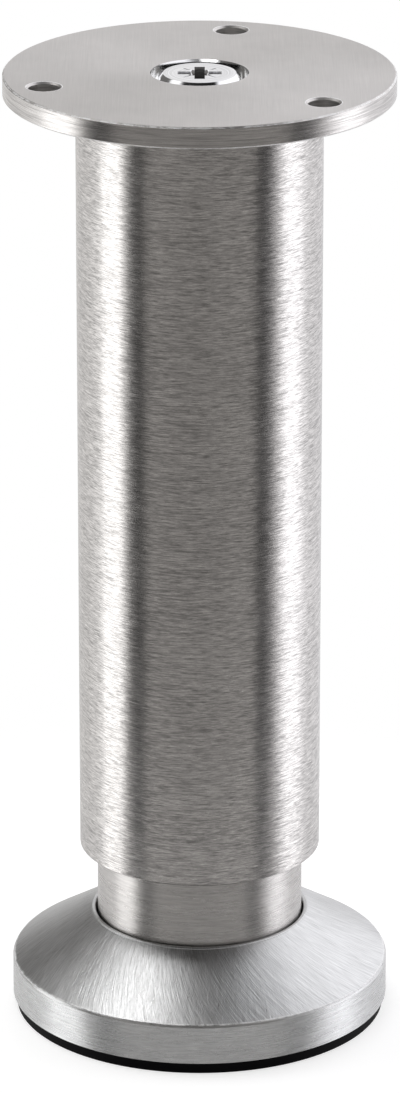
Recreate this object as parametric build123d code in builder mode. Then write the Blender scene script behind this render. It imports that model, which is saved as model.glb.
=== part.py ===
from build123d import *
import os
from math import atan2, cos, degrees, radians, tan

# Round stainless steel furniture leg with a screw-adjusted foot. The leg stands on its rubber
# pad. The origin is the centre of the pad's underside, and +Z points up to the mounting plate.
# All lengths are in millimetres and all angles in degrees.

os.makedirs("parts", exist_ok=True)

# How far ribs and cutters run past the faces they meet, and how near two radii are alike
overlap = 0.8
same_radius = 0.001

# Mounting plate
plate_radius = 40.0
plate_thickness = 4.5
plate_edge_chamfer = 0.35
fixing_hole_radius = 3.2
fixing_hole_chamfer = 0.45
fixing_hole_margin = 7.0
fixing_hole_count = 3
first_hole_angle = 90.0

# Screw through the middle of the plate
screw_radius = 4.0
screw_length = 22.0
screw_tip_chamfer = 0.9
head_radius = 8.4
head_thickness = 2.3
head_bevel = 0.95
head_sink = 0.1
head_side_gap = 1.6
screw_hole_gap = 0.5
recess_width = 8.9
recess_slot = 2.1
recess_depth = 4.1
recess_slope = 27.0
recess_slot_share = 0.75
recess_turn = 11.4
star_width = 5.4
star_slot = 1.1
star_depth = 2.6
index_mark_length = 1.9
index_mark_width = 0.35
index_mark_depth = 0.2

# Outer tube
tube_radius = 25.25
tube_wall = 1.6
tube_length = 163.7
tube_edge_chamfer = 0.3

# Plug in the top of the tube
press_gap = 0.05
top_plug_depth = 17.0
top_plug_web = 6.0
top_plug_skirt = 2.4
top_plug_hub_radius = 8.0
top_plug_rib_count = 6
top_plug_rib_width = 2.2
plug_lead_chamfer = 0.6
thread_gap = 0.05

# Sleeve that closes the gap between tube and foot
sleeve_wall = 1.6
sleeve_length = 42.0
sleeve_exposed = 15.0
sleeve_edge_chamfer = 0.25
sleeve_seat_depth = 2.6

# Nylon guide ring in the bottom of the tube
guide_wall = 1.85
guide_height = 13.0
guide_setback = 1.2
guide_gap = 0.15
guide_groove_width = 1.6
guide_groove_depth = 0.7
guide_slot_count = 6
guide_slot_width = 1.6
guide_slot_depth = 8.0

# Nylon collar in the top of the sleeve
collar_flange = 1.4
collar_spigot = 9.0
collar_web = 2.0
collar_wall = 1.8
collar_hub_wall = 2.2
collar_bore_gap = 0.35
collar_rib_count = 6
collar_rib_width = 1.6

# Nut carrier inside the tube, and how far the foot screws in and out of it
retract_travel = 10.5
extend_travel = 7.5
stop_gap = 0.5
carrier_height = 20.0
carrier_web = 5.0
carrier_skirt = 2.2
carrier_hub_wall = 3.2
carrier_rib_count = 8
carrier_rib_width = 2.2

# Foot: dish, moulded core and rubber pad
foot_radius = 39.7
foot_rim_height = 8.4
foot_cone_height = 10.4
foot_wall = 1.5
foot_shoulder_chamfer = 0.35
lip_width = 0.9
lip_step = 0.3
lip_chamfer = 0.2
lip_depth = 3.4
lip_wall = 1.2
opening_gap = 0.45
core_gap = 0.4
core_base = 2.4
core_hub_radius = 10.6
core_ring_wall = 1.7
core_rib_count = 10
core_rib_width = 1.6
spigot_gap = 0.35
spigot_height = 4.0
pad_inset = 0.8
pad_flange = 2.5
pad_tread_count = 2
pad_tread_width = 2.6
pad_tread_depth = 0.7
pad_tread_inset = 7.0
pad_tread_step = 8.0
pad_bolt_well_gap = 1.0

# Bolt that carries the foot, and what is on it
spindle_radius = 5.0
spindle_head_flats = 17.0
spindle_head_height = 6.4
spindle_tip = 3.4
spindle_tip_chamfer = 0.9
hex_pocket_gap = 0.15
nut_flats = 17.0
nut_height = 8.0
thin_nut_height = 5.0
nut_bevel = 30.0
nut_face_share = 0.96
washer_radius = 9.8
washer_thickness = 1.8
running_gap = 0.08
clip_outer_radius = 8.0
clip_thickness = 1.2
clip_groove_depth = 0.7
clip_groove_play = 0.1
clip_mouth = 7.2
clip_notch_radius = 0.9

# Heights from the floor up
rim_bottom = pad_flange
shoulder_z = rim_bottom + foot_rim_height
collar_z = shoulder_z + foot_cone_height
sleeve_bottom = collar_z - sleeve_seat_depth
sleeve_top = sleeve_bottom + sleeve_length
tube_bottom = collar_z + sleeve_exposed
tube_top = tube_bottom + tube_length
plate_top = tube_top + plate_thickness
carrier_bottom = sleeve_top + collar_flange + retract_travel + stop_gap
carrier_top = carrier_bottom + carrier_height
clip_bottom = carrier_top + extend_travel
spindle_top = clip_bottom + clip_thickness + spindle_tip

# Radii that follow from the pieces they fit
fixing_circle_radius = plate_radius - fixing_hole_margin
tube_bore = tube_radius - tube_wall
sleeve_radius = tube_bore - press_gap - guide_wall - guide_gap
sleeve_bore = sleeve_radius - sleeve_wall
pad_radius = foot_radius - pad_inset
opening_radius = sleeve_radius + opening_gap
lip_radius = opening_radius + lip_width
cone_angle = degrees(atan2(foot_cone_height - lip_step, foot_radius - lip_radius))


def hexagon_radius(flats):
    """Corner radius of a hexagon from its width across flats."""
    return flats / 2 / cos(radians(30))


def hexagon_envelope(flats, bottom, top):
    """Half profile of the turned blank that gives a hexagon beveled corners at both ends."""
    corner = hexagon_radius(flats) + overlap
    face = flats / 2 * nut_face_share
    drop = (corner - face) * tan(radians(nut_bevel))
    return [
        (0, bottom),
        (face, bottom),
        (corner, bottom + drop),
        (corner, top - drop),
        (face, top),
        (0, top),
    ]


def save(part, name):
    """Label a finished piece and write it as one STEP file."""
    part.label = name
    export_step(part, f"parts/{name}.step")


# Mounting plate: a turned disc, bored flat for the screw head and drilled for the furniture screws
with BuildPart() as mounting_plate:
    with BuildSketch(Plane.XY.offset(tube_top)):
        Circle(plate_radius)
    extrude(amount=plate_thickness)
    chamfer(mounting_plate.edges().filter_by(GeomType.CIRCLE), length=plate_edge_chamfer)
    with Locations((0, 0, plate_top)):
        CounterBoreHole(
            radius=screw_radius + screw_hole_gap,
            counter_bore_radius=head_radius + head_side_gap,
            counter_bore_depth=head_thickness + head_sink,
        )
    with Locations((0, 0, plate_top)):
        with PolarLocations(fixing_circle_radius, fixing_hole_count, first_hole_angle):
            Hole(fixing_hole_radius)
    hole_rims = mounting_plate.edges().filter_by(GeomType.CIRCLE)
    hole_rims = hole_rims.filter_by(lambda rim: abs(rim.radius - fixing_hole_radius) < same_radius)
    chamfer(hole_rims, length=fixing_hole_chamfer)
save(mounting_plate.part, "mounting_plate")

# Plate screw: flat beveled head with a star-cross recess, flush in the plate
head_top = plate_top - head_sink
head_bottom = head_top - head_thickness
with BuildPart() as plate_screw:
    with BuildSketch(Plane.XY.offset(head_bottom)):
        Circle(head_radius)
    extrude(amount=head_thickness)
    chamfer(plate_screw.edges().group_by(Axis.Z)[-1], length=head_bevel)
    with BuildSketch(Plane.XY.offset(head_bottom)):
        Circle(screw_radius)
    extrude(amount=-screw_length)
    chamfer(plate_screw.edges().group_by(Axis.Z)[0], length=screw_tip_chamfer)

    for width, slot, depth, turn in (
        (recess_width, recess_slot, recess_depth, recess_turn),
        (recess_width, recess_slot, recess_depth, recess_turn + 90),
        (star_width, star_slot, star_depth, recess_turn + 45),
        (star_width, star_slot, star_depth, recess_turn + 135),
    ):
        shrink = 2 * depth * tan(radians(recess_slope))
        with BuildSketch(Plane.XY.offset(head_top).rotated((0, 0, turn))):
            Rectangle(width, slot)
        with BuildSketch(Plane.XY.offset(head_top - depth).rotated((0, 0, turn))):
            Rectangle(width - shrink, slot * recess_slot_share)
        loft(mode=Mode.SUBTRACT)
    with BuildSketch(Plane.XY.offset(head_top).rotated((0, 0, recess_turn + 45))):
        with PolarLocations(star_width / 2 + index_mark_length / 2, 4):
            Rectangle(index_mark_length, index_mark_width)
    extrude(amount=-index_mark_depth, mode=Mode.SUBTRACT)
save(plate_screw.part, "plate_screw")

# Top plug: cast cup pressed into the tube, with ribs round the threaded hub
top_plug_radius = tube_bore - press_gap
top_plug_bottom = tube_top - top_plug_depth
with BuildPart() as top_plug:
    with BuildSketch(Plane.XY.offset(top_plug_bottom)):
        Circle(top_plug_radius)
    extrude(amount=top_plug_depth)
    chamfer(top_plug.edges().group_by(Axis.Z)[0], length=plug_lead_chamfer)
    with BuildSketch(Plane.XY.offset(top_plug_bottom)):
        Circle(top_plug_radius - top_plug_skirt)
        Circle(top_plug_hub_radius, mode=Mode.SUBTRACT)
    extrude(amount=top_plug_depth - top_plug_web, mode=Mode.SUBTRACT)
    rib_inner = top_plug_hub_radius - overlap
    rib_outer = top_plug_radius - top_plug_skirt + overlap
    with BuildSketch(Plane.XY.offset(top_plug_bottom + plug_lead_chamfer)):
        with PolarLocations((rib_inner + rib_outer) / 2, top_plug_rib_count):
            Rectangle(rib_outer - rib_inner, top_plug_rib_width)
    extrude(amount=top_plug_depth - top_plug_web - plug_lead_chamfer)
    with Locations((0, 0, tube_top)):
        Hole(screw_radius + thread_gap)
save(top_plug.part, "top_plug")

# Outer tube
with BuildPart() as outer_tube:
    with BuildSketch(Plane.XY.offset(tube_bottom)):
        Circle(tube_radius)
        Circle(tube_bore, mode=Mode.SUBTRACT)
    extrude(amount=tube_length)
    tube_rims = outer_tube.edges().filter_by(GeomType.CIRCLE)
    tube_rims = tube_rims.filter_by(lambda rim: abs(rim.radius - tube_radius) < same_radius)
    chamfer(tube_rims.sort_by(Axis.Z)[0], length=tube_edge_chamfer)
save(outer_tube.part, "outer_tube")

# Guide ring: slotted nylon bush that centres the sleeve in the tube
guide_bottom = tube_bottom + guide_setback
guide_outer = tube_bore - press_gap
guide_inner = sleeve_radius + guide_gap
with BuildPart() as guide_ring:
    with BuildSketch(Plane.XY.offset(guide_bottom)):
        Circle(guide_outer)
        Circle(guide_inner, mode=Mode.SUBTRACT)
    extrude(amount=guide_height)
    groove_z = guide_bottom + (guide_height - guide_slot_depth) / 2
    with BuildSketch(Plane.XZ):
        with BuildLine():
            Polyline(
                (guide_outer, groove_z - guide_groove_width / 2),
                (guide_outer - guide_groove_depth, groove_z),
                (guide_outer, groove_z + guide_groove_width / 2),
                close=True,
            )
        make_face()
    revolve(axis=Axis.Z, mode=Mode.SUBTRACT)
    with BuildSketch(Plane.XY.offset(guide_bottom + guide_height)):
        with PolarLocations((guide_inner + guide_outer) / 2, guide_slot_count):
            Rectangle(guide_outer - guide_inner + 2 * overlap, guide_slot_width)
    extrude(amount=-guide_slot_depth, mode=Mode.SUBTRACT)
save(guide_ring.part, "guide_ring")

# Nut carrier: cast plug pressed into the tube, with the nut in a hexagonal pocket from below
carrier_radius = tube_bore - press_gap
pocket_radius = hexagon_radius(nut_flats + 2 * hex_pocket_gap)
carrier_hub = pocket_radius + carrier_hub_wall
nut_top = carrier_bottom + carrier_height - carrier_web
with BuildPart() as nut_carrier:
    with BuildSketch(Plane.XY.offset(carrier_bottom)):
        Circle(carrier_radius)
    extrude(amount=carrier_height)
    chamfer(nut_carrier.edges().group_by(Axis.Z)[0], length=plug_lead_chamfer)
    with BuildSketch(Plane.XY.offset(carrier_bottom)):
        Circle(carrier_radius - carrier_skirt)
        Circle(carrier_hub, mode=Mode.SUBTRACT)
    extrude(amount=carrier_height - carrier_web, mode=Mode.SUBTRACT)
    rib_inner = carrier_hub - overlap
    rib_outer = carrier_radius - carrier_skirt + overlap
    with BuildSketch(Plane.XY.offset(carrier_bottom + plug_lead_chamfer)):
        with PolarLocations((rib_inner + rib_outer) / 2, carrier_rib_count):
            Rectangle(rib_outer - rib_inner, carrier_rib_width)
    extrude(amount=nut_top - carrier_bottom - plug_lead_chamfer)
    with BuildSketch(Plane.XY.offset(carrier_bottom)):
        RegularPolygon(pocket_radius, 6)
    extrude(amount=nut_top - carrier_bottom, mode=Mode.SUBTRACT)
    with Locations((0, 0, carrier_top)):
        Hole(spindle_radius + screw_hole_gap)
save(nut_carrier.part, "nut_carrier")

# Captive nut, running on the spindle
with BuildPart() as captive_nut:
    with BuildSketch(Plane.XY.offset(nut_top - nut_height)):
        RegularPolygon(hexagon_radius(nut_flats), 6)
        Circle(spindle_radius + running_gap, mode=Mode.SUBTRACT)
    extrude(amount=nut_height)
    with BuildSketch(Plane.XZ):
        with BuildLine():
            Polyline(*hexagon_envelope(nut_flats, nut_top - nut_height, nut_top), close=True)
        make_face()
    revolve(axis=Axis.Z, mode=Mode.INTERSECT)
save(captive_nut.part, "captive_nut")

# Sleeve
with BuildPart() as sleeve_tube:
    with BuildSketch(Plane.XY.offset(sleeve_bottom)):
        Circle(sleeve_radius)
        Circle(sleeve_bore, mode=Mode.SUBTRACT)
    extrude(amount=sleeve_length)
    sleeve_rims = sleeve_tube.edges().filter_by(GeomType.CIRCLE)
    sleeve_rims = sleeve_rims.filter_by(lambda rim: abs(rim.radius - sleeve_radius) < same_radius)
    chamfer(sleeve_rims, length=sleeve_edge_chamfer)
save(sleeve_tube.part, "sleeve_tube")

# Sleeve collar: nylon cap that keeps the sleeve centred on the bolt
collar_spigot_radius = sleeve_bore - press_gap
collar_bore = spindle_radius + collar_bore_gap
collar_hub = collar_bore + collar_hub_wall
with BuildPart() as sleeve_collar:
    with BuildSketch(Plane.XY.offset(sleeve_top)):
        Circle(sleeve_radius - sleeve_edge_chamfer)
    extrude(amount=collar_flange)
    with BuildSketch(Plane.XY.offset(sleeve_top - collar_spigot)):
        Circle(collar_spigot_radius)
    extrude(amount=collar_spigot)
    chamfer(sleeve_collar.edges().group_by(Axis.Z)[0], length=plug_lead_chamfer)
    with BuildSketch(Plane.XY.offset(sleeve_top - collar_spigot)):
        Circle(collar_spigot_radius - collar_wall)
        Circle(collar_hub, mode=Mode.SUBTRACT)
    extrude(amount=collar_spigot + collar_flange - collar_web, mode=Mode.SUBTRACT)
    rib_inner = collar_hub - overlap
    rib_outer = collar_spigot_radius - collar_wall + overlap
    with BuildSketch(Plane.XY.offset(sleeve_top - collar_spigot + plug_lead_chamfer)):
        with PolarLocations((rib_inner + rib_outer) / 2, collar_rib_count):
            Rectangle(rib_outer - rib_inner, collar_rib_width)
    extrude(amount=collar_spigot - plug_lead_chamfer)
    with Locations((0, 0, sleeve_top + collar_flange)):
        Hole(collar_bore)
save(sleeve_collar.part, "sleeve_collar")

# Foot dish: spun sheet cone with an upright rim, open below, and a lip turned down round the sleeve
with BuildPart() as foot_dish:
    with BuildSketch(Plane.XZ):
        with BuildLine():
            Polyline(
                (0, rim_bottom),
                (foot_radius, rim_bottom),
                (foot_radius, shoulder_z),
                (lip_radius, collar_z - lip_step),
                (lip_radius, collar_z),
                (0, collar_z),
                close=True,
            )
        make_face()
    revolve(axis=Axis.Z)
    shoulder = foot_dish.edges().filter_by(GeomType.CIRCLE).group_by(SortBy.RADIUS)[-1]
    chamfer(shoulder.sort_by(Axis.Z)[-1], length=foot_shoulder_chamfer)
    offset(amount=-foot_wall, openings=foot_dish.faces().sort_by(Axis.Z)[0])
    with BuildSketch(Plane.XY.offset(collar_z - lip_depth)):
        Circle(opening_radius + lip_wall)
    extrude(amount=lip_depth - foot_wall / 2)
    with Locations((0, 0, collar_z)):
        Hole(opening_radius)
    chamfer(foot_dish.edges().group_by(Axis.Z)[-1], length=lip_chamfer)
save(foot_dish.part, "foot_dish")

# Foot core: ribbed moulding pressed into the dish, with the sleeve's seat and the bolt's pocket
core_bottom = rim_bottom
core_radius = foot_radius - foot_wall - press_gap
core_floor = core_bottom + core_base
spigot_radius = sleeve_bore - spigot_gap
spigot_bore = spigot_radius - core_ring_wall
seat_radius = opening_radius - core_gap
rib_inner = opening_radius + lip_wall + core_gap
under_cone = foot_wall / cos(radians(cone_angle)) + press_gap
rib_edge_z = shoulder_z - under_cone + (foot_radius - core_radius) * tan(radians(cone_angle))
rib_top = rib_edge_z + (core_radius - rib_inner) * tan(radians(cone_angle))
under_lip = collar_z - lip_depth - core_gap
hub_top = sleeve_bottom
head_seat = core_bottom + spindle_head_height
with BuildPart() as foot_core:
    with BuildSketch(Plane.XZ):
        with BuildLine():
            Polyline(
                (0, core_bottom),
                (core_radius, core_bottom),
                (core_radius, rib_edge_z),
                (rib_inner, rib_top),
                (rib_inner, under_lip),
                (0, under_lip),
                close=True,
            )
        make_face()
    revolve(axis=Axis.Z)
    with BuildSketch(Plane.XY.offset(core_floor)):
        Circle(core_radius + overlap)
        with PolarLocations((core_radius + seat_radius) / 2, core_rib_count):
            Rectangle(core_radius - seat_radius + 2 * overlap, core_rib_width, mode=Mode.SUBTRACT)
        Circle(seat_radius, mode=Mode.SUBTRACT)
    extrude(amount=collar_z - core_floor, mode=Mode.SUBTRACT)
    with BuildSketch(Plane.XY.offset(core_floor)):
        Circle(spigot_bore)
        Circle(core_hub_radius, mode=Mode.SUBTRACT)
    extrude(amount=collar_z - core_floor, mode=Mode.SUBTRACT)
    with BuildSketch(Plane.XY.offset(core_bottom)):
        Circle(seat_radius)
        Circle(spigot_bore, mode=Mode.SUBTRACT)
    extrude(amount=sleeve_bottom - core_bottom)
    with BuildSketch(Plane.XY.offset(sleeve_bottom)):
        Circle(spigot_radius)
        Circle(spigot_bore, mode=Mode.SUBTRACT)
    extrude(amount=spigot_height)
    with BuildSketch(Plane.XY.offset(core_bottom)):
        Circle(core_hub_radius)
    extrude(amount=hub_top - core_bottom)
    web_inner = core_hub_radius - overlap
    web_outer = spigot_bore + overlap
    with BuildSketch(Plane.XY.offset(core_floor)):
        with PolarLocations((web_inner + web_outer) / 2, core_rib_count):
            Rectangle(web_outer - web_inner, core_rib_width)
    extrude(amount=hub_top - washer_thickness - core_floor)
    with BuildSketch(Plane.XY.offset(core_bottom)):
        RegularPolygon(hexagon_radius(spindle_head_flats + 2 * hex_pocket_gap), 6)
    extrude(amount=spindle_head_height, mode=Mode.SUBTRACT)
    with Locations((0, 0, hub_top)):
        Hole(spindle_radius + hex_pocket_gap)
save(foot_core.part, "foot_core")

# Spindle: hexagon-headed bolt standing up through the core, grooved near its tip for the stop clip
with BuildPart() as spindle_bolt:
    with BuildSketch(Plane.XY.offset(core_bottom)):
        RegularPolygon(hexagon_radius(spindle_head_flats), 6)
    extrude(amount=spindle_head_height)
    with BuildSketch(Plane.XZ):
        with BuildLine():
            Polyline(*hexagon_envelope(spindle_head_flats, core_bottom, head_seat), close=True)
        make_face()
    revolve(axis=Axis.Z, mode=Mode.INTERSECT)
    with BuildSketch(Plane.XY.offset(head_seat)):
        Circle(spindle_radius)
    extrude(amount=spindle_top - head_seat)
    chamfer(spindle_bolt.edges().group_by(Axis.Z)[-1], length=spindle_tip_chamfer)
    with BuildSketch(Plane.XY.offset(clip_bottom - clip_groove_play / 2)):
        Circle(spindle_radius + overlap)
        Circle(spindle_radius - clip_groove_depth, mode=Mode.SUBTRACT)
    extrude(amount=clip_thickness + clip_groove_play, mode=Mode.SUBTRACT)
save(spindle_bolt.part, "spindle_bolt")

# Washer and thin nut that clamp the bolt to the core
with BuildPart() as core_washer:
    with BuildSketch(Plane.XY.offset(hub_top)):
        Circle(washer_radius)
        Circle(spindle_radius + hex_pocket_gap, mode=Mode.SUBTRACT)
    extrude(amount=washer_thickness)
save(core_washer.part, "core_washer")

lock_nut_bottom = hub_top + washer_thickness
lock_nut_top = lock_nut_bottom + thin_nut_height
with BuildPart() as lock_nut:
    with BuildSketch(Plane.XY.offset(lock_nut_bottom)):
        RegularPolygon(hexagon_radius(nut_flats), 6)
        Circle(spindle_radius + thread_gap, mode=Mode.SUBTRACT)
    extrude(amount=thin_nut_height)
    with BuildSketch(Plane.XZ):
        with BuildLine():
            Polyline(*hexagon_envelope(nut_flats, lock_nut_bottom, lock_nut_top), close=True)
        make_face()
    revolve(axis=Axis.Z, mode=Mode.INTERSECT)
save(lock_nut.part, "lock_nut")

# Stop clip: sprung ring in the bolt's groove, which keeps the foot from being screwed right out
clip_bore = spindle_radius - clip_groove_depth + thread_gap
with BuildPart() as stop_clip:
    with BuildSketch(Plane.XY.offset(clip_bottom)):
        Circle(clip_outer_radius)
        Circle(clip_bore, mode=Mode.SUBTRACT)
        with Locations((clip_outer_radius, 0)):
            Rectangle(clip_outer_radius * 2, clip_mouth, mode=Mode.SUBTRACT)
        with PolarLocations(clip_bore, 2, 120, 120):
            Circle(clip_notch_radius, mode=Mode.SUBTRACT)
    extrude(amount=clip_thickness)
save(stop_clip.part, "stop_clip")

# Rubber pad: stepped disc glued under the core, with tread rings underneath
well_radius = hexagon_radius(spindle_head_flats) + pad_bolt_well_gap
with BuildPart() as rubber_pad:
    with BuildSketch():
        Circle(pad_radius)
        Circle(well_radius, mode=Mode.SUBTRACT)
    extrude(amount=pad_flange)
    for tread in range(pad_tread_count):
        tread_radius = pad_radius - pad_tread_inset - tread * pad_tread_step
        with BuildSketch():
            Circle(tread_radius + pad_tread_width / 2)
            Circle(tread_radius - pad_tread_width / 2, mode=Mode.SUBTRACT)
        extrude(amount=pad_tread_depth, mode=Mode.SUBTRACT)
save(rubber_pad.part, "rubber_pad")

print("overall height", round(plate_top, 2))
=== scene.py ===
import logging
import math
from collections.abc import Callable
from dataclasses import dataclass, field
from enum import Enum
from typing import Any, Union

import bmesh
import bpy
from mathutils import Euler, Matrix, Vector


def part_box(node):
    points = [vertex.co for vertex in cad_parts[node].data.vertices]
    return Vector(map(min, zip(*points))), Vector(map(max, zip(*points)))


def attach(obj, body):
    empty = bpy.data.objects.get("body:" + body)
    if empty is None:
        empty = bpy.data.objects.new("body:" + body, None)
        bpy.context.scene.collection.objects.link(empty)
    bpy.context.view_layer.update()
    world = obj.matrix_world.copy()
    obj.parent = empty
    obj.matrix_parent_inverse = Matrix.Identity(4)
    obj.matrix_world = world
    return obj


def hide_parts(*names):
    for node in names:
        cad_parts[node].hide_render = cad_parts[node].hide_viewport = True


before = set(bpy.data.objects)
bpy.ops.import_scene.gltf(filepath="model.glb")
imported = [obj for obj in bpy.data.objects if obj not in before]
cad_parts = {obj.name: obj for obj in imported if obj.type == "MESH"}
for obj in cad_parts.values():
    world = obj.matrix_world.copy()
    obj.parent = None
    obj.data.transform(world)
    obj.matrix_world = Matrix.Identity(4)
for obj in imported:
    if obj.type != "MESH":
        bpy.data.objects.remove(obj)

LOG = logging.getLogger("furniture_leg")
Number = Union[float, int]
Colour = tuple[float, float, float]
Stop = tuple[float, float]

MM = 0.001
HAIR = 0.001 * MM
MIDDLE = (0.3, 0.7)
GRAIN_TURN = 11.4


class Socket:
    """An output socket that numbers and other sockets can be reckoned with."""

    def __init__(self, graph: "Graph", link: bpy.types.NodeSocket) -> None:
        """Wraps one socket.

        Args:
            graph: The node graph that the socket is part of.
            link: The node's own output socket.
        """
        self.graph = graph
        self.link = link

    def maths(self, operation: str, *values: Union["Socket", Number]) -> "Socket":
        """Adds one Math node.

        Args:
            operation: The Math node's operation.
            values: Its inputs in order.

        Returns:
            The node's result.
        """
        return self.graph.node("ShaderNodeMath", {"operation": operation}, dict(enumerate(values)))

    def __add__(self, other: Union["Socket", Number]) -> "Socket":
        """Sum."""
        return self.maths("ADD", self, other)

    def __radd__(self, other: Number) -> "Socket":
        """Sum with a number on the left."""
        return self.maths("ADD", other, self)

    def __sub__(self, other: Union["Socket", Number]) -> "Socket":
        """Difference."""
        return self.maths("SUBTRACT", self, other)

    def __rsub__(self, other: Number) -> "Socket":
        """Difference from a number on the left."""
        return self.maths("SUBTRACT", other, self)

    def __mul__(self, other: Union["Socket", Number]) -> "Socket":
        """Product."""
        return self.maths("MULTIPLY", self, other)

    def __rmul__(self, other: Number) -> "Socket":
        """Product with a number on the left."""
        return self.maths("MULTIPLY", other, self)

    def __truediv__(self, other: Union["Socket", Number]) -> "Socket":
        """Quotient."""
        return self.maths("DIVIDE", self, other)

    def __pow__(self, other: Number) -> "Socket":
        """Power."""
        return self.maths("POWER", self, other)

    def between(self, low: float, high: float) -> "Socket":
        """Smooth step from 0 at low to 1 at high, or the other way round where low is larger.

        Args:
            low: The value that gives 0.
            high: The value that gives 1.

        Returns:
            The step's value.
        """
        flip = low > high
        lower, upper = (high, low) if flip else (low, high)
        settings = {"interpolation_type": "SMOOTHSTEP", "clamp": True}
        inputs = {"Value": self, "From Min": lower, "From Max": upper}
        step = self.graph.node("ShaderNodeMapRange", settings, inputs)
        return 1 - step if flip else step


class Graph:
    """A node graph of one material or of the world."""

    def __init__(self, tree: bpy.types.NodeTree) -> None:
        """Empties the tree.

        Args:
            tree: The node tree to fill.
        """
        self.tree = tree
        tree.nodes.clear()

    def node(self, kind: str, settings: dict[str, Any], inputs: dict[Any, Any], output: Any = 0) -> Socket:
        """Adds any node.

        Args:
            kind: The node's type.
            settings: Its properties, which are set first. Stops of a ramp come under "stops".
            inputs: Values or sockets by the name or the number of the input.
            output: The name or the number of the output to give back.

        Returns:
            The output that was asked for.
        """
        made = self.tree.nodes.new(kind)
        for name, value in settings.items():
            if name == "stops":
                self._stops(made.color_ramp, value)
            else:
                setattr(made, name, value)
        for name, value in inputs.items():
            if isinstance(value, Socket):
                self.tree.links.new(value.link, made.inputs[name])
            else:
                made.inputs[name].default_value = value
        return Socket(self, made.outputs[output]) if made.outputs else Socket(self, None)

    @staticmethod
    def _stops(ramp: bpy.types.ColorRamp, stops: list[tuple[float, Colour]]) -> None:
        """Sets a ramp's stops from pairs of place and colour."""
        while len(ramp.elements) < len(stops):
            ramp.elements.new(1.0)
        for element, (place, colour) in zip(ramp.elements, stops):
            element.position = place
            element.color = (*colour, 1.0)

    def place(self) -> Socket:
        """Object coordinates."""
        return self.node("ShaderNodeTexCoord", {}, {}, "Object")

    def parts(self, vector: Socket) -> tuple[Socket, Socket, Socket]:
        """The three components of a vector."""
        split = self.node("ShaderNodeSeparateXYZ", {}, {"Vector": vector})
        outputs = split.link.node.outputs
        return tuple(Socket(self, outputs[i]) for i in range(3))

    def scaled(self, vector: Socket, scale: Colour, move: Colour = (0.0, 0.0, 0.0)) -> Socket:
        """A vector stretched along the axes and moved."""
        return self.node("ShaderNodeMapping", {}, {"Vector": vector, "Scale": scale, "Location": move})

    def noise(self, vector: Socket, detail: float = 2.0, roughness: float = 0.5) -> Socket:
        """Noise of one cell for each unit of the vector, about 0.5."""
        inputs = {"Vector": vector, "Scale": 1.0, "Detail": detail, "Roughness": roughness}
        return self.node("ShaderNodeTexNoise", {"noise_dimensions": "3D"}, inputs, "Fac")

    def dot(self, vector: Socket, direction: Colour) -> Socket:
        """The length of a vector along a direction."""
        settings = {"operation": "DOT_PRODUCT"}
        return self.node("ShaderNodeVectorMath", settings, {0: vector, 1: direction}, "Value")

    def apart(self, vector: Socket, point: Colour) -> Socket:
        """The distance of a vector from a point."""
        settings = {"operation": "DISTANCE"}
        return self.node("ShaderNodeVectorMath", settings, {0: vector, 1: point}, "Value")

    def mixed(self, factor: Union[Socket, float], first: Any, second: Any) -> Socket:
        """A colour between two, as the factor goes from 0 to 1."""
        settings = {"data_type": "RGBA", "blend_type": "MIX"}
        return self.node("ShaderNodeMix", settings, {0: factor, 6: first, 7: second}, 2)

    def ramp(self, factor: Socket, stops: list[tuple[float, Colour]]) -> Socket:
        """A colour read from stops."""
        return self.node("ShaderNodeValToRGB", {"stops": stops}, {0: factor}, "Color")

    def bump(self, height: Socket, strength: float, distance: float) -> Socket:
        """A normal from a height in the range 0 to 1."""
        inputs = {"Height": height, "Strength": strength, "Distance": distance}
        return self.node("ShaderNodeBump", {}, inputs, "Normal")


def rgba(colour: Colour, share: float = 1.0) -> tuple[float, float, float, float]:
    """A colour times a share, with full alpha."""
    return (colour[0] * share, colour[1] * share, colour[2] * share, 1.0)


class Grain(Enum):
    """The way that a metal surface is brushed."""

    ROUND = "lines round the leg's axis"
    STRAIGHT = "straight lines across a flat face"
    SPIRAL = "crossed strokes down a cone"


@dataclass(frozen=True)
class Finish:
    """What every surface finish has."""

    name: str
    colour: Colour
    roughness: float

    def material(self) -> bpy.types.Material:
        """Makes the material.

        Returns:
            The new material, with its graph filled by paint.
        """
        made = bpy.data.materials.new(self.name)
        made.use_nodes = True
        graph = Graph(made.node_tree)
        shader = self.paint(graph)
        graph.node("ShaderNodeOutputMaterial", {}, {"Surface": shader})
        return made

    def paint(self, graph: Graph) -> Socket:
        """Fills the graph.

        Args:
            graph: The empty graph.

        Returns:
            The shader.
        """
        raise NotImplementedError


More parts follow.
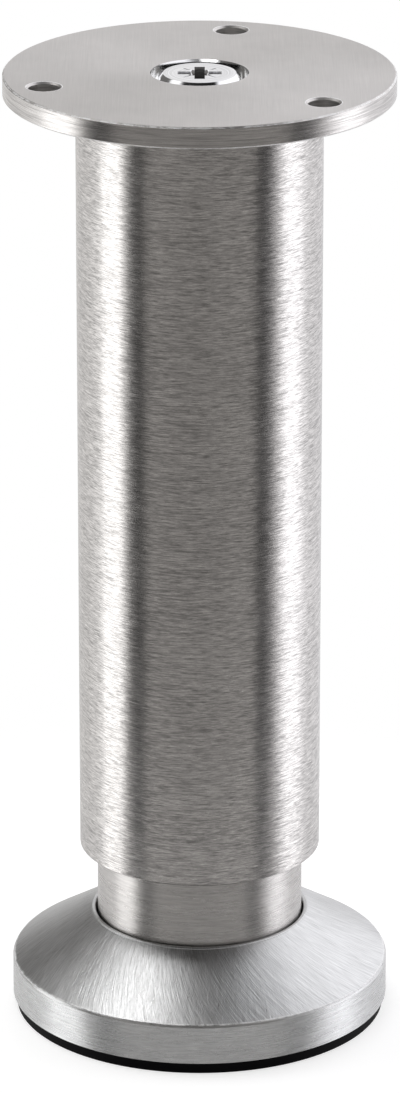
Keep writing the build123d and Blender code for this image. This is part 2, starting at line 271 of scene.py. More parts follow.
@dataclass(frozen=True)
class BrushedSteel(Finish):
    """Stainless steel with brush lines."""

    grain: Grain = Grain.ROUND
    anisotropy: float = 0.9
    turn: float = 0.25
    line: float = 0.3
    stroke: float = 5.0
    relief: float = 0.1
    contrast: float = 0.3
    scatter: float = 0.16
    # Ring of painted edge highlight: its radius, width, noise scale and coverage. The radius also sizes the
    # cone's strokes.
    glint_edge_radius: float = 0.0
    glint_width: float = 0.5 * MM
    cloud_scale: float = 55.0
    cloud_share: float = 0.3
    fine_share: float = 0.75
    gain: float = 4.5
    glint_scale: float = 420.0
    glint_bits: tuple[float, float] = (0.4, 0.58)

    def lines(self, graph: Graph, place: Socket) -> tuple[Socket, Socket]:
        """Brush lines.

        Args:
            graph: The graph to add to.
            place: Object coordinates.

        Returns:
            Fine lines and broader strokes, both about 0.5.
        """
        along, across = 1 / (self.stroke * MM), 1 / (self.line * MM)
        if self.grain is Grain.ROUND:
            fine = graph.scaled(place, (along, along, across))
            broad = graph.scaled(place, (along / 2.0, along / 2.0, across / 2), (3.1, 7.7, 1.9))
            return graph.noise(fine, 3.0, 0.8), graph.noise(broad, 2.0, 0.6)
        if self.grain is Grain.STRAIGHT:
            settings = {"rotation_type": "Z_AXIS"}
            inputs = {"Vector": place, "Angle": math.radians(-GRAIN_TURN)}
            straight = graph.node("ShaderNodeVectorRotate", settings, inputs)
            fine = graph.scaled(straight, (across, along, across))
            broad = graph.scaled(straight, (across / 3, along / 2, across / 3), (2.0, 5.0, 1.0))
            return graph.noise(fine, 2.0, 0.6), graph.noise(broad, 2.0, 0.6)
        x, y, _ = graph.parts(place)
        radius = (x * x + y * y) ** 0.5
        return self.strokes(graph, x, y, radius, 13.0), self.strokes(graph, x, y, radius, -6.0)

    def strokes(self, graph: Graph, x: Socket, y: Socket, radius: Socket, twist: float) -> Socket:
        """Strokes down a cone that drift round it.

        Args:
            graph: The graph to add to.
            x: Place along X.
            y: Place along Y.
            radius: Distance from the axis.
            twist: How far the strokes drift, in radians for each metre of radius.

        Returns:
            The strokes, about 0.5.
        """
        out = graph.node("ShaderNodeCombineXYZ", {}, {0: x / radius, 1: y / radius})
        settings = {"rotation_type": "Z_AXIS"}
        turned = graph.node("ShaderNodeVectorRotate", settings, {"Vector": out, "Angle": radius * -twist})
        u, v, _ = graph.parts(turned)
        cells = self.glint_edge_radius * 0.75 / (self.line * MM)
        inputs = {0: u * cells, 1: v * cells, 2: radius / (self.stroke * MM) + twist}
        return graph.noise(graph.node("ShaderNodeCombineXYZ", {}, inputs), 2.0, 0.65)

    def painted_glint(self, graph: Graph, place: Socket) -> Union[Socket, None]:
        """Painted highlight along the edge: broken bright bits, where the finish has one.

        Args:
            graph: The graph to add to.
            place: Object coordinates.

        Returns:
            The share of painted highlight, or nothing.
        """
        if not self.glint_edge_radius:
            return None
        x, y, _ = graph.parts(place)
        reach = (x * x + y * y) ** 0.5
        # Painted highlight: a thin ring at the edge, broken up by noise.
        near = reach.between(self.glint_edge_radius - self.glint_width, self.glint_edge_radius)
        past = reach.between(self.glint_edge_radius + self.glint_width, self.glint_edge_radius)
        bits = graph.noise(graph.scaled(place, (self.glint_scale,) * 3), 4.0, 0.75)
        return near * past * bits.between(*self.glint_bits)

    def paint(self, graph: Graph) -> Socket:
        """Brushed metal.

        Args:
            graph: The empty graph.

        Returns:
            The shader.
        """
        place = graph.place()
        fine, broad = self.lines(graph, place)
        cloud = graph.noise(graph.scaled(place, (self.cloud_scale,) * 3), 3.0, 0.6)
        mixed = fine * self.fine_share + broad * (1 - self.fine_share)
        tone = (mixed - 0.5) * self.gain * self.contrast + (cloud - 0.5) * self.cloud_share + 0.5
        colour = graph.mixed(tone, rgba(self.colour, 0.5), rgba(self.colour, 1.5))
        rough = self.roughness + (broad - 0.5) * self.scatter + (cloud - 0.5) * 0.06
        painted_glint = self.painted_glint(graph, place)
        metal = 1.0
        if painted_glint:
            # Painted highlight: near-white, less metallic bits along the edge.
            colour = graph.mixed(painted_glint, colour, (0.95, 0.95, 0.95, 1.0))
            metal = 1 - painted_glint * 0.75
        return graph.node(
            "ShaderNodeBsdfPrincipled",
            {},
            {
                "Base Color": colour,
                "Metallic": metal,
                "Roughness": rough,
                "Anisotropic": self.anisotropy,
                "Anisotropic Rotation": self.turn,
                "Normal": graph.bump(mixed, 1.0, self.relief * MM),
            },
        )


@dataclass(frozen=True)
class DrilledSteel(BrushedSteel):
    """Brushed face with holes, with a painted highlight along its outer edge and round each hole."""

    holes: tuple[Colour, ...] = ()
    hole_radius: float = 3.65 * MM
    glint_reach: float = 0.22 * MM
    glint_fade: float = 0.08 * MM
    glint_inner: float = 0.12 * MM
    wall_start: float = 0.36 * MM
    wall_full: float = 0.43 * MM

    def painted_glint(self, graph: Graph, place: Socket) -> Union[Socket, None]:
        """Painted highlight along the outer edge and round each hole.

        Args:
            graph: The graph to add to.
            place: Object coordinates.

        Returns:
            The share of painted highlight.
        """
        x, y, _ = graph.parts(place)
        flat = graph.node("ShaderNodeCombineXYZ", {}, {0: x, 1: y})
        painted_glint = super().painted_glint(graph, place)
        # Painted highlight round each hole's chamfer, added to the outer edge's.
        for hole in self.holes:
            reach = graph.apart(flat, hole)
            outer = reach.between(self.hole_radius + self.glint_reach, self.hole_radius + self.glint_fade)
            inner = reach.between(self.hole_radius - self.glint_inner, self.hole_radius)
            painted_glint = painted_glint.maths("MAXIMUM", painted_glint, outer * inner)
        return painted_glint

    def paint(self, graph: Graph) -> Socket:
        """The brushed face, with rougher drilled walls down its holes whose darker colour is painted shade.

        Args:
            graph: The empty graph.

        Returns:
            The shader.
        """
        x, y, _ = graph.parts(graph.place())
        flat = graph.node("ShaderNodeCombineXYZ", {}, {0: x, 1: y})
        walls: Union[Socket, float] = 0.0
        for hole in self.holes:
            reach = graph.apart(flat, hole)
            bored = reach.between(self.hole_radius - self.wall_start, self.hole_radius - self.wall_full)
            walls = bored.maths("MAXIMUM", bored, walls)
        # Drilled wall: a real rougher finish, with its darker colour as painted shade inside the hole.
        drilled_and_shaded = BrushedSteel(
            "drilled_wall", (0.42, 0.41, 0.4), 0.45, grain=Grain.ROUND, anisotropy=0.3, line=0.15, stroke=6.0,
            relief=0.02, contrast=0.5,
        )
        inputs = {0: walls, 1: super().paint(graph), 2: drilled_and_shaded.paint(graph)}
        return graph.node("ShaderNodeMixShader", {}, inputs)


@dataclass(frozen=True)
class FaceAndRim(Finish):
    """A disc whose face and upright rim are brushed apart, and whose middle may be polished."""

    face: BrushedSteel
    rim: BrushedSteel
    edge: float = 39.7 * MM
    bore: float = 0.0
    seam: float = 0.03 * MM
    bore_seam: float = 0.05 * MM

    def paint(self, graph: Graph) -> Socket:
        """The face's metal inside the edge, and the rim's outside.

        Args:
            graph: The empty graph.

        Returns:
            The shader.
        """
        x, y, _ = graph.parts(graph.place())
        radius = (x * x + y * y) ** 0.5
        outside = radius.between(self.edge - self.seam, self.edge + self.seam)
        inputs = {0: outside, 1: self.face.paint(graph), 2: self.rim.paint(graph)}
        both = graph.node("ShaderNodeMixShader", {}, inputs)
        if not self.bore:
            return both
        inside = radius.between(self.bore + self.bore_seam, self.bore)
        polished = TurnedPlating("polished_bore", (0.86, 0.86, 0.86), 0.08).paint(graph)
        return graph.node("ShaderNodeMixShader", {}, {0: inside, 1: both, 2: polished})


@dataclass(frozen=True)
class TurnedPlating(Finish):
    """Bright plating over a turned face, with painted shade down in its recess."""

    ring: float = 0.35
    relief: float = 0.02
    face_height: float = 204.3 * MM
    recess_depth: float = 1.6 * MM
    recess_shade_outer: float = 5.4 * MM
    recess_shade_inner: float = 4.4 * MM

    def paint(self, graph: Graph) -> Socket:
        """Bright plated metal.

        Args:
            graph: The empty graph.

        Returns:
            The shader.
        """
        place = graph.place()
        x, y, z = graph.parts(place)
        radius = (x * x + y * y) ** 0.5
        steps = graph.node("ShaderNodeCombineXYZ", {}, {0: x * 60, 1: y * 60, 2: radius / (self.ring * MM)})
        rings = graph.noise(steps, 2.0, 0.6)
        cloud = graph.noise(graph.scaled(place, (400.0, 400.0, 400.0)), 3.0, 0.6)
        colour = graph.mixed(rings.between(*MIDDLE), rgba(self.colour, 0.86), rgba(self.colour, 1.08))
        # Painted shade: darkens the plating down in the screw's recess.
        deep = z.between(self.face_height, self.face_height - self.recess_depth)
        painted_recess_shade = deep * radius.between(self.recess_shade_outer, self.recess_shade_inner)
        colour = graph.mixed(painted_recess_shade * 0.75, colour, (0.05, 0.047, 0.045, 1.0))
        inputs = {
            "Base Color": colour,
            "Metallic": 1.0,
            "Roughness": self.roughness + (cloud - 0.5) * 0.14 + rings * 0.06,
            "Normal": graph.bump(rings, 1.0, self.relief * MM),
        }
        return graph.node("ShaderNodeBsdfPrincipled", {}, inputs)


@dataclass(frozen=True)
class PlatedSteel(Finish):
    """Zinc plated steel with a faint spangle."""

    def paint(self, graph: Graph) -> Socket:
        """Zinc plate.

        Args:
            graph: The empty graph.

        Returns:
            The shader.
        """
        place = graph.place()
        cells = {"Vector": place, "Scale": 420.0}
        spangle = graph.node("ShaderNodeTexVoronoi", {"feature": "F1"}, cells, "Color")
        grey, _, _ = graph.parts(spangle)
        cloud = graph.noise(graph.scaled(place, (180.0, 180.0, 180.0)), 3.0, 0.6)
        colour = graph.mixed(grey * 0.6 + cloud * 0.4, rgba(self.colour, 0.84), rgba(self.colour, 1.1))
        fine = graph.noise(graph.scaled(place, (2600.0, 2600.0, 2600.0)), 2.0, 0.5)
        inputs = {
            "Base Color": colour,
            "Metallic": 1.0,
            "Roughness": self.roughness + (cloud - 0.5) * 0.2 + (grey - 0.5) * 0.08,
            "Normal": graph.bump(fine, 0.2, 0.02 * MM),
        }
        return graph.node("ShaderNodeBsdfPrincipled", {}, inputs)


@dataclass(frozen=True)
class CastAlloy(Finish):
    """Plain aluminium casting with the grain of its mould."""

    def paint(self, graph: Graph) -> Socket:
        """Cast metal.

        Args:
            graph: The empty graph.

        Returns:
            The shader.
        """
        place = graph.place()
        grain = graph.noise(graph.scaled(place, (900.0, 900.0, 900.0)), 4.0, 0.65)
        cloud = graph.noise(graph.scaled(place, (90.0, 90.0, 90.0)), 3.0, 0.6)
        colour = graph.mixed(cloud.between(*MIDDLE), rgba(self.colour, 0.82), rgba(self.colour, 1.1))
        inputs = {
            "Base Color": colour,
            "Metallic": 1.0,
            "Roughness": self.roughness + (grain - 0.5) * 0.2,
            "Normal": graph.bump(grain, 0.5, 0.08 * MM),
        }
        return graph.node("ShaderNodeBsdfPrincipled", {}, inputs)


@dataclass(frozen=True)
class Moulded(Finish):
    """Moulded plastic or rubber with a fine matt grain."""

    grain: float = 0.5
    relief: float = 0.3
    dust: float = 0.06
    shine: float = 0.4

    def paint(self, graph: Graph) -> Socket:
        """Matt moulding.

        Args:
            graph: The empty graph.

        Returns:
            The shader.
        """
        place = graph.place()
        step = 1 / (self.grain * MM)
        grain = graph.noise(graph.scaled(place, (step, step, step)), 3.0, 0.6)
        cloud = graph.noise(graph.scaled(place, (70.0, 70.0, 70.0)), 3.0, 0.6)
        dusty = cloud.between(0.45, 0.8) * self.dust
        colour = graph.mixed(grain, rgba(self.colour, 0.8), rgba(self.colour, 1.25))
        colour = graph.mixed(dusty, colour, (0.35, 0.34, 0.33, 1.0))
        inputs = {
            "Base Color": colour,
            "Metallic": 0.0,
            "Roughness": self.roughness + (grain - 0.5) * 0.18,
            "Specular IOR Level": self.shine,
            "Normal": graph.bump(grain, self.relief, 0.05 * MM),
        }
        return graph.node("ShaderNodeBsdfPrincipled", {}, inputs)


STEEL: Colour = (0.60, 0.582, 0.568)
COOL_STEEL: Colour = (0.60, 0.602, 0.603)
ZINC = PlatedSteel("zinc_plate", (0.62, 0.63, 0.65), 0.34)
ALLOY = CastAlloy("cast_alloy", (0.58, 0.58, 0.59), 0.5)
NYLON = Moulded("black_nylon", (0.03, 0.03, 0.033), 0.5)


def pick(shown: bpy.types.Object, kind: str, wanted: Callable[[Vector], bool]) -> None:
    """Selects the vertices or edges of a mesh in edit mode by where their middle is.

    Args:
        shown: The object, which is in edit mode.
        kind: VERT or EDGE.
        wanted: Says whether the point is one to select.
    """
    bpy.ops.mesh.select_mode(type=kind)
    bpy.ops.mesh.select_all(action="DESELECT")
    mesh = bmesh.from_edit_mesh(shown.data)
    parts = mesh.verts if kind == "VERT" else mesh.edges
    for part in parts:
        points = [part.co] if kind == "VERT" else [vertex.co for vertex in part.verts]
        part.select_set(wanted(sum(points, Vector()) / len(points)))
    mesh.select_flush_mode()
    bmesh.update_edit_mesh(shown.data)


@dataclass
class Assembly:
    """Pieces of the leg that are built and dressed together."""

    def finishes(self) -> dict[str, Finish]:
        """The finish of each node."""
        return {}

    def build(self) -> None:
        """Builds new pieces, where the assembly has any."""

    def dress(self) -> None:
        """Gives each node its finish."""
        for node, finish in self.finishes().items():
            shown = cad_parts[node]
            shown.data.materials.clear()
            shown.data.materials.append(finish.material())
            LOG.info("%s: %s", node, finish.name)

    def make(self) -> None:
        """Builds and dresses the assembly."""
        self.build()
        self.dress()


@dataclass
class MountingHead(Assembly):
    """Mounting plate, its screw and the plug that the screw holds it to."""

    plate_radius: float = 40.0 * MM
    rim_inset: float = 0.05 * MM
    # Inset and width of the painted highlight along the plate's top edge.
    glint_inset: float = 0.15 * MM
    glint_width: float = 0.28 * MM
    bore_radius: float = 10.0 * MM
    hole_circle: float = 33.0 * MM
    hole_radius: float = 3.2 * MM
    hole_chamfer: float = 0.45 * MM
    hole_count: int = 3

    def finishes(self) -> dict[str, Finish]:
        """Satin plate with a brushed rim, and a bright screw."""
        turns = [math.radians(90 + 360 * i / self.hole_count) for i in range(self.hole_count)]
        reach = self.hole_circle
        holes = tuple((reach * math.cos(turn), reach * math.sin(turn), 0.0) for turn in turns)
        face = DrilledSteel(
            "plate_face", STEEL, 0.42, grain=Grain.STRAIGHT, anisotropy=0.3, line=0.25, stroke=16.0,
            relief=0.004, contrast=0.06, scatter=0.06, glint_edge_radius=self.plate_radius - self.glint_inset,
            glint_width=self.glint_width, holes=holes, hole_radius=self.hole_radius + self.hole_chamfer,
        )
        rim = BrushedSteel(
            "plate_rim", STEEL, 0.26, grain=Grain.ROUND, anisotropy=0.95, line=0.25, stroke=10.0,
            relief=0.03, contrast=0.5, scatter=0.1,
        )
        return {
            "mounting_plate": FaceAndRim(
                "satin_plate", STEEL, 0.4, face, rim, self.plate_radius - self.rim_inset, self.bore_radius
            ),
            "plate_screw": TurnedPlating("plated_screw", (0.86, 0.86, 0.87), 0.08),
            "top_plug": ALLOY,
        }


@dataclass
class Column(Assembly):
    """Outer tube with the nut and its carrier inside, and the guide ring at its end."""

    def finishes(self) -> dict[str, Finish]:
        """Brushed tube over plain inner pieces."""
        return {
            "outer_tube": BrushedSteel(
                "brushed_tube", STEEL, 0.26, grain=Grain.ROUND, anisotropy=0.95, line=0.18, stroke=2.4,
                relief=0.018, contrast=0.9, scatter=0.05,
            ),
            "nut_carrier": ALLOY,
            "captive_nut": ZINC,
            "guide_ring": NYLON,
        }


@dataclass
class Sleeve(Assembly):
    """Sleeve between the tube and the foot, with its collar."""

    def finishes(self) -> dict[str, Finish]:
        """Finely brushed sleeve."""
        return {
            "sleeve_tube": BrushedSteel(
                "brushed_sleeve", STEEL, 0.28, grain=Grain.ROUND, anisotropy=0.95, line=0.3, stroke=6.0,
                relief=0.05, contrast=0.3, scatter=0.12,
            ),
            "sleeve_collar": NYLON,
        }


@dataclass
class Thread:
    """Right-handed screw thread with sharp roots and narrow flat crests."""

    radius: float
    pitch: float
    crest_share: float = 0.2
    depth_share: float = 0.61
    steps: int = 28

    def build(self, name: str, bottom: float, top: float) -> bpy.types.Object:
        """Builds a closed threaded rod.

        Args:
            name: The object's name.
            bottom: Height of its lower end.
            top: Height of its upper end.

        Returns:
            The rod.
        """
        depth = self.pitch * self.depth_share
        middle = self.radius - depth / 2
        start = bottom - self.pitch * 1.5
        bpy.ops.object.select_all(action="DESELECT")
        bpy.ops.mesh.primitive_plane_add(
            size=1.0, location=(middle, 0.0, start), rotation=(math.pi / 2, 0.0, 0.0)
        )
        rod = bpy.context.object
        rod.name = name
        rod.scale = (depth, self.pitch, 1.0)
        bpy.ops.object.transform_apply(location=True, rotation=True, scale=True)
        bpy.ops.object.mode_set(mode="EDIT")
        bpy.ops.mesh.select_all(action="SELECT")
        bpy.ops.mesh.delete(type="ONLY_FACE")
        pick(rod, "EDGE", lambda point: point.x < middle - depth / 4)
        bpy.ops.mesh.delete(type="EDGE")
        pick(rod, "VERT", lambda point: point.x > middle)
        crest = (self.radius, 0.0, start)
        bpy.ops.transform.resize(value=(1.0, 1.0, self.crest_share), center_override=crest)
        bpy.ops.object.mode_set(mode="OBJECT")
        screw = rod.modifiers.new("turns", "SCREW")
        screw.axis, screw.angle, screw.screw_offset = "Z", 2 * math.pi, self.pitch
        screw.iterations = math.ceil((top - bottom) / self.pitch) + 3
        screw.steps = screw.render_steps = self.steps
        screw.use_merge_vertices, screw.merge_threshold = True, HAIR
        bpy.ops.object.modifier_apply(modifier=screw.name)
        bpy.ops.object.mode_set(mode="EDIT")
        bpy.ops.mesh.select_all(action="SELECT")
        bpy.ops.mesh.remove_doubles(threshold=HAIR)
        for height, side in ((bottom, "clear_inner"), (top, "clear_outer")):
            bpy.ops.mesh.select_all(action="SELECT")
            plane = {"plane_co": (0.0, 0.0, height), "plane_no": (0.0, 0.0, 1.0), "threshold": HAIR}
            bpy.ops.mesh.bisect(use_fill=True, **plane, **{side: True})
        bpy.ops.mesh.select_all(action="SELECT")
        bpy.ops.mesh.normals_make_consistent(inside=False)
        bpy.ops.object.mode_set(mode="OBJECT")
        return rod


@dataclass
class Foot(Assembly):
    """Foot dish with its core, pad and bolt."""

    foot_radius: float = 39.7 * MM
    shoulder_chamfer: float = 0.35 * MM
    rim_inset: float = 0.2 * MM
    # Width of the painted highlight along the dish's shoulder edge.
    glint_width: float = 0.35 * MM
    thread: Thread = field(default_factory=lambda: Thread(5.0 * MM, 1.5 * MM))
    head_flats: float = 17.0 * MM
    head_height: float = 6.4 * MM
    head_bevel: float = 0.6 * MM
    tip_chamfer: float = 0.9 * MM
    groove_radius: float = 4.3 * MM
    groove_play: float = 0.05 * MM

    def build(self) -> None:
        """Builds the threaded spindle over its plain solid."""
        low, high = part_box("spindle_bolt")
        clip_low, clip_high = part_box("stop_clip")
        seat = low.z + self.head_height
        spindle = self.thread.build("threaded_spindle", seat - 1 * MM, high.z)
        tip = self.cylinder("tip_envelope", 48, self.thread.radius, seat - 2 * MM, high.z)
        self.bevel(tip, self.tip_chamfer, high.z)
        self.combine(spindle, tip, "INTERSECT")
        groove = self.cylinder("groove_cutter", 48, 2 * self.thread.radius, clip_low.z - self.groove_play,
                               clip_high.z + self.groove_play)
        core = self.cylinder("groove_core", 48, self.groove_radius, clip_low.z - 1 * MM, clip_high.z + 1 * MM)
        self.combine(groove, core, "DIFFERENCE")
        self.combine(spindle, groove, "DIFFERENCE")
        head = self.cylinder("spindle_head", 6, self.head_flats / math.sqrt(3), low.z, seat)
        self.bevel(head, self.head_bevel, low.z)
        self.bevel(head, self.head_bevel / 2, seat)
        self.combine(spindle, head, "UNION")
        bpy.ops.object.select_all(action="DESELECT")
        spindle.select_set(True)
        bpy.context.view_layer.objects.active = spindle
        bpy.ops.object.shade_smooth_by_angle(angle=math.radians(28))
        spindle.data.materials.clear()
        spindle.data.materials.append(ZINC.material())
        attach(spindle, "foot")
        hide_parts("spindle_bolt")
        LOG.info("%s: %d faces", spindle.name, len(spindle.data.polygons))

    @staticmethod
    def cylinder(name: str, sides: int, radius: float, bottom: float, top: float) -> bpy.types.Object:
        """Adds an upright prism with its origin at the frame's.

        Args:
            name: The object's name.
            sides: How many sides it has.
            radius: Its corner radius.
            bottom: Height of its lower end.
            top: Height of its upper end.

        Returns:
            The prism.
        """
        bpy.ops.object.select_all(action="DESELECT")
        place = (0.0, 0.0, (bottom + top) / 2)
        turn = (0.0, 0.0, math.pi / 6 if sides == 6 else 0.0)
        bpy.ops.mesh.primitive_cylinder_add(
            vertices=sides, radius=radius, depth=top - bottom, location=place, rotation=turn
        )
        made = bpy.context.object
        made.name = name
        bpy.ops.object.transform_apply(location=True, rotation=True, scale=True)
        return made

    @staticmethod
    def bevel(shown: bpy.types.Object, width: float, height: float) -> None:
        """Bevels the edges that lie at one height.

        Args:
            shown: The active object.
            width: The bevel's width.
            height: Where the edges are.
        """
        bpy.context.view_layer.objects.active = shown
        bpy.ops.object.mode_set(mode="EDIT")
        pick(shown, "EDGE", lambda point: abs(point.z - height) < 0.01 * MM)
        bpy.ops.mesh.bevel(offset=width, offset_type="OFFSET", segments=1)
        bpy.ops.object.mode_set(mode="OBJECT")

    @staticmethod
    def combine(shown: bpy.types.Object, other: bpy.types.Object, operation: str) -> None:
        """Joins, cuts or trims one solid with another, which is then removed.

        Args:
            shown: The solid that is kept.
            other: The solid that is used up.
            operation: UNION, DIFFERENCE or INTERSECT.
        """
        bpy.context.view_layer.objects.active = shown
        step = shown.modifiers.new(operation.lower(), "BOOLEAN")
        step.operation, step.object, step.solver = operation, other, "EXACT"
        bpy.ops.object.modifier_apply(modifier=step.name)
        bpy.data.objects.remove(other)

    def finishes(self) -> dict[str, Finish]:
        """Dish with strokes down its cone and lines round its rim."""
        cone = BrushedSteel(
            "foot_cone", COOL_STEEL, 0.32, grain=Grain.SPIRAL, anisotropy=0.35, turn=0.0, line=0.24,
            stroke=4.5, relief=0.07, contrast=0.28, scatter=0.2,
            glint_edge_radius=self.foot_radius - self.shoulder_chamfer, glint_width=self.glint_width,
        )
        rim = BrushedSteel(
            "foot_rim", (0.67, 0.673, 0.674), 0.28, grain=Grain.ROUND, anisotropy=0.9, line=0.3, stroke=5.0,
            relief=0.05, contrast=0.26,
        )
        return {
            "foot_dish": FaceAndRim("brushed_foot", STEEL, 0.4, cone, rim, self.foot_radius - self.rim_inset),
            "foot_core": NYLON,
            "core_washer": ZINC,
            "lock_nut": ZINC,
            "stop_clip": ZINC,
            "rubber_pad": Moulded(
                "black_rubber", (0.003, 0.003, 0.004), 0.6, grain=0.6, relief=0.3, dust=0.008, shine=0.08
            ),
        }


@dataclass
class Studio:
    """Floor, world, lamp and camera of the photograph."""

    azimuth: float = 11.4
    distance: float = 1.2171
    height: float = 0.5477
    pitch: float = 20.1
    focal: float = 6230.0
    centre: tuple[float, float] = (199.65, 546.5)
    size: tuple[float, float] = (400.0, 1093.0)
    floor_radius: float = 0.17
    floor_gap: float = 0.1 * MM
    floor_colour: Colour = (0.55, 0.55, 0.55)
    low_walls: tuple[Stop, ...] = (
        (-180, 0.80), (-145, 0.78), (-118, 0.93), (-106, 1.15), (-101, 1.95), (-80, 1.95),
        (-74, 0.45), (-69, 0.04), (-55, 0.0), (-51, 0.28), (0, 0.235), (53, 0.29), (57, 0.0),
        (69, 0.03), (77, 0.45), (86, 1.4), (92, 1.95), (106, 1.9), (114, 1.15), (126, 0.95),
        (150, 0.86), (180, 0.80),
    )
    high_walls: tuple[Stop, ...] = (
        (-180, 0.86), (-175, 0.82), (-162, 0.13), (-122, 0.13), (-115, 1.3), (-92, 1.3), (-80, 0.15),
        (-50, 0.25), (50, 0.25), (70, 0.35), (92, 1.3), (125, 1.4), (165, 1.4), (176, 0.88), (180, 0.86),
    )
    zenith: float = 0.25
    shade_at: tuple[float, float] = (0.0, 70.0)
    panel_at: tuple[float, float] = (-134.0, 71.0)
    panel_level: float = 4.0
    wall_blend: tuple[float, float] = (0.02, 0.2)
    zenith_blend: tuple[float, float] = (0.9, 0.97)
    shade_blend: tuple[float, float] = (0.76, 0.88)
    panel_blend: tuple[float, float] = (0.972, 0.99)
    warmth: float = 0.045
    coolness: float = 0.03
    cool_from: float = 60.0
    mirrored_white: float = 0.02
    mirrored_floor: float = 0.4
    mirrored_fade: float = 0.55
    floor_glow: float = 0.68
    floor_fades_from: float = 0.45
    floor_gone_at: float = 0.95
    sensor_width: float = 36.0
    near: float = 0.01
    far: float = 50.0
    lamp_size: float = 1.2
    lamp_power: float = 6.0
    lamp_place: Colour = (-0.5, -0.3, 1.6)
    lamp_target: Colour = (0.0, 0.0, 0.1)

    def aim(self, azimuth: float, elevation: float) -> Colour:
        """A direction from degrees right of the camera's side and degrees above the horizon."""
        turn = math.radians(azimuth + self.azimuth)
        level = math.cos(math.radians(elevation))
        return (level * math.sin(turn), -level * math.cos(turn), math.sin(math.radians(elevation)))

    def camera(self) -> None:
        """Places the camera."""
        data = bpy.data.cameras.new("camera")
        data.sensor_width = self.sensor_width
        data.lens = self.focal * data.sensor_width / self.size[1]
        data.shift_x = (self.size[0] / 2 - self.centre[0]) / self.size[1]
        data.clip_start, data.clip_end = self.near, self.far
        data.dof.use_dof = False
        shown = bpy.data.objects.new("camera", data)
        turn = math.radians(self.azimuth)
        shown.location = (self.distance * math.sin(turn), -self.distance * math.cos(turn), self.height)
        shown.rotation_euler = Euler((math.radians(90 - self.pitch), 0.0, turn), "XYZ")
        bpy.context.scene.collection.objects.link(shown)
        bpy.context.scene.camera = shown

    def walls(self, graph: Graph, share: Socket, stops: tuple[Stop, ...]) -> Socket:
        """Brightness of the walls round the studio, warm where dark and a little cool on the right."""
        table = []
        for turn, level in stops:
            warm = self.warmth * max(0.0, 1.0 - level)
            cool = self.coolness if turn > self.cool_from else 0.0
            table.append((turn / 360 + 0.5, (level * (1 + warm), level, level * (1 - warm + cool))))
        return graph.ramp(share, table)

    def world(self) -> None:
        """Soft studio: pale behind and at the sides, grey in front, dark high in front, one bright panel."""
        made = bpy.data.worlds.new("studio")
        made.use_nodes = True
        bpy.context.scene.world = made
        graph = Graph(made.node_tree)
        way = graph.node("ShaderNodeTexCoord", {}, {}, "Generated")
        front, right = graph.dot(way, self.aim(0.0, 0.0)), graph.dot(way, self.aim(90.0, 0.0))
        up = graph.dot(way, (0.0, 0.0, 1.0))
        share = right.maths("ARCTAN2", right, front) / (2 * math.pi) + 0.5
        low, high = self.walls(graph, share, self.low_walls), self.walls(graph, share, self.high_walls)
        sky = graph.mixed(up.between(*self.wall_blend), low, high)
        sky = graph.mixed(up.between(*self.zenith_blend), sky, rgba((1.0, 1.0, 1.0), self.zenith))
        shade = graph.dot(way, self.aim(*self.shade_at)).between(*self.shade_blend)
        sky = graph.mixed(shade, sky, (0.0, 0.0, 0.0, 1.0))
        panel = graph.dot(way, self.aim(*self.panel_at)).between(*self.panel_blend)
        sky = graph.mixed(panel, sky, rgba((1.0, 1.0, 1.0), self.panel_level))
        path = graph.node("ShaderNodeLightPath", {}, {}, "Is Camera Ray")
        clear = Socket(graph, path.link.node.outputs["Is Transmission Ray"])
        glossy = Socket(graph, path.link.node.outputs["Is Glossy Ray"])
        seen = path.maths("MAXIMUM", path, clear) + glossy * self.mirrored_white
        colour = graph.mixed(seen, sky, (1.0, 1.0, 1.0, 1.0))
        light = graph.node("ShaderNodeBackground", {}, {"Color": colour, "Strength": 1.0})
        graph.node("ShaderNodeOutputWorld", {}, {"Surface": light})

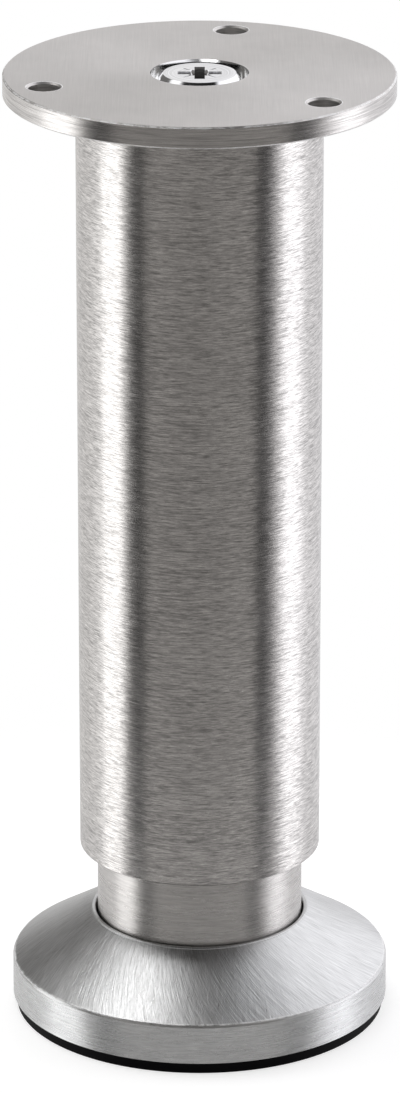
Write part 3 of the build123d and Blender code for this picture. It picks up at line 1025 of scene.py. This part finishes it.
    def floor(self) -> None:
        """Pale floor under the foot, which it goes up and down with. It is clear from below."""
        bpy.ops.object.select_all(action="DESELECT")
        bpy.ops.mesh.primitive_circle_add(
            vertices=128, radius=self.floor_radius, fill_type="NGON", location=(0.0, 0.0, -self.floor_gap)
        )
        bpy.ops.object.transform_apply(location=True, rotation=True, scale=True)
        shown = bpy.context.object
        shown.name = "floor"
        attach(shown, "foot")
        made = bpy.data.materials.new("pale_floor")
        made.use_nodes = True
        graph = Graph(made.node_tree)
        path = graph.node("ShaderNodeLightPath", {}, {}, "Is Camera Ray")
        outputs = path.link.node.outputs
        glossy = Socket(graph, outputs["Is Glossy Ray"])
        clear = Socket(graph, outputs["Is Transmission Ray"])
        seen = path.maths("MAXIMUM", path, clear) + glossy * self.mirrored_floor
        matt = graph.node("ShaderNodeBsdfDiffuse", {}, {"Color": rgba(self.floor_colour)})
        colour = graph.mixed(seen, (0.0, 0.0, 0.0, 1.0), rgba((1.0, 1.0, 1.0), self.floor_glow))
        glow = graph.node("ShaderNodeEmission", {}, {"Color": colour, "Strength": 1.0})
        both = graph.node("ShaderNodeAddShader", {}, {0: matt, 1: glow})
        x, y, _ = graph.parts(graph.place())
        start, end = self.floor_radius * self.floor_fades_from, self.floor_radius * self.floor_gone_at
        faded = ((x * x + y * y) ** 0.5).between(start, end)
        faded = faded.maths("MAXIMUM", faded, glossy * self.mirrored_fade)
        beneath = graph.node("ShaderNodeNewGeometry", {}, {}, "Backfacing")
        faded = faded.maths("MAXIMUM", faded, beneath)
        nothing = graph.node("ShaderNodeBsdfTransparent", {}, {})
        edge = graph.node("ShaderNodeMixShader", {}, {0: faded, 1: both, 2: nothing})
        graph.node("ShaderNodeOutputMaterial", {}, {"Surface": edge})
        shown.data.materials.append(made)

    def lamps(self) -> None:
        """One large soft lamp above."""
        data = bpy.data.lights.new("overhead", "AREA")
        data.shape = "RECTANGLE"
        data.size, data.size_y = self.lamp_size, self.lamp_size
        data.energy = self.lamp_power
        shown = bpy.data.objects.new("overhead", data)
        shown.location = self.lamp_place
        way = Vector(self.lamp_target) - shown.location
        shown.rotation_euler = way.to_track_quat("-Z", "Y").to_euler()
        shown.visible_glossy = False
        bpy.context.scene.collection.objects.link(shown)

    def make(self) -> None:
        """Builds the studio."""
        self.camera()
        self.world()
        self.floor()
        self.lamps()
        bpy.context.scene.view_settings.view_transform = "Standard"
        LOG.info("studio ready")


def main() -> None:
    """Builds and dresses the leg and its studio."""
    logging.basicConfig(level=logging.INFO)
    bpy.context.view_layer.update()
    bpy.ops.object.select_all(action="DESELECT")
    for assembly in (MountingHead(), Column(), Sleeve(), Foot()):
        assembly.make()
    Studio().make()


if __name__ == "__main__":
    main()
